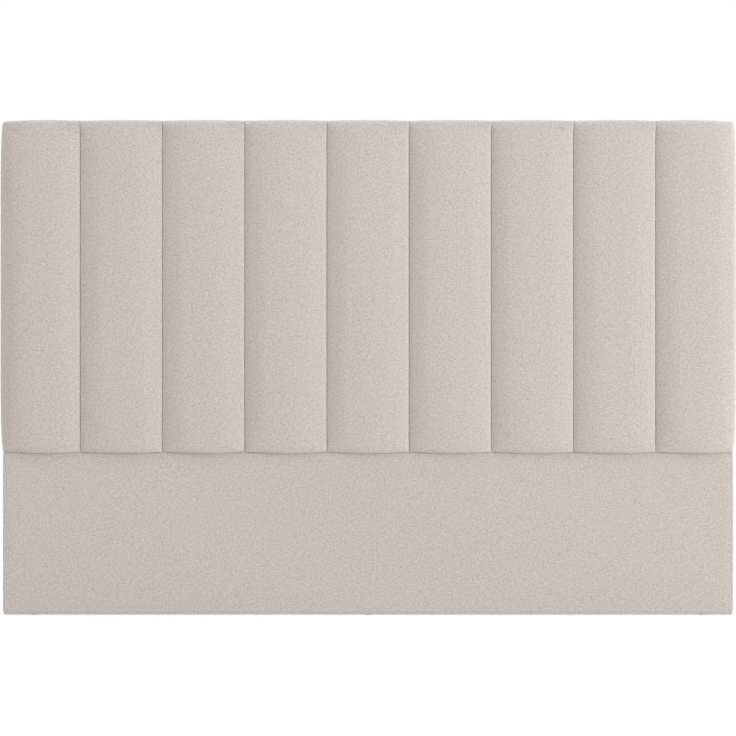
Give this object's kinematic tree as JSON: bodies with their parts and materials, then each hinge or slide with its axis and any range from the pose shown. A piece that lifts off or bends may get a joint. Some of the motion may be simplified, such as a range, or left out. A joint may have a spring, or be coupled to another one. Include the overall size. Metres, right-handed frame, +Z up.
{
  "type": "upholstered headboard",
  "caption": "Floor-standing upholstered headboard with vertical padded channels above a plain padded panel, on a timber frame.",
  "frame": {"origin": "on the floor, under the middle of the headboard's width and depth", "axes": "+X to the right seen from the padded front, the front faces -Y, +Z up"},
  "size_m": [1.635, 0.1, 1.1016],
  "materials": {
    "cover_fabric": "matte",
    "foam": "matte",
    "wadding": "matte",
    "lining_cloth": "matte",
    "dust_cloth": "matte",
    "pine": "matte",
    "plywood": "matte",
    "screw_steel": "satin",
    "zinc_plate": "satin",
    "staple_wire": "satin",
    "glide_plastic": "satin"
  },
  "bodies": {
    "root": {"base_board": "plywood", "base_board_screws": "screw_steel", "base_foam": "foam", "board_screws": "screw_steel", "bottom_rail": "pine", "channel_cover_1": "cover_fabric", "channel_cover_2": "cover_fabric", "channel_cover_3": "cover_fabric", "channel_cover_4": "cover_fabric", "channel_cover_5": "cover_fabric", "channel_cover_6": "cover_fabric", "channel_cover_7": "cover_fabric", "channel_cover_8": "cover_fabric", "channel_cover_9": "cover_fabric", "channel_lining": "lining_cloth", "channel_pad_1": "foam", "channel_pad_2": "foam", "channel_pad_3": "foam", "channel_pad_4": "foam", "channel_pad_5": "foam", "channel_pad_6": "foam", "channel_pad_7": "foam", "channel_pad_8": "foam", "channel_pad_9": "foam", "corner_blocks": "pine", "cover_staples": "staple_wire", "dust_cloth": "dust_cloth", "dust_cloth_staples": "staple_wire", "frame_screws": "screw_steel", "glide_nails": "staple_wire", "glides": "glide_plastic", "hanger_screws": "screw_steel", "lap_screws": "screw_steel", "left_hanger_plate": "zinc_plate", "left_side_wadding": "wadding", "left_stile": "pine", "left_upright": "pine", "lower_board": "plywood", "lower_cover": "cover_fabric", "lower_pad": "foam", "middle_rail": "pine", "right_hanger_plate": "zinc_plate", "right_side_wadding": "wadding", "right_stile": "pine", "right_upright": "pine", "threaded_inserts": "zinc_plate", "top_rail": "pine", "top_wadding": "wadding", "upper_board": "plywood"}
  },
  "joints": []
}
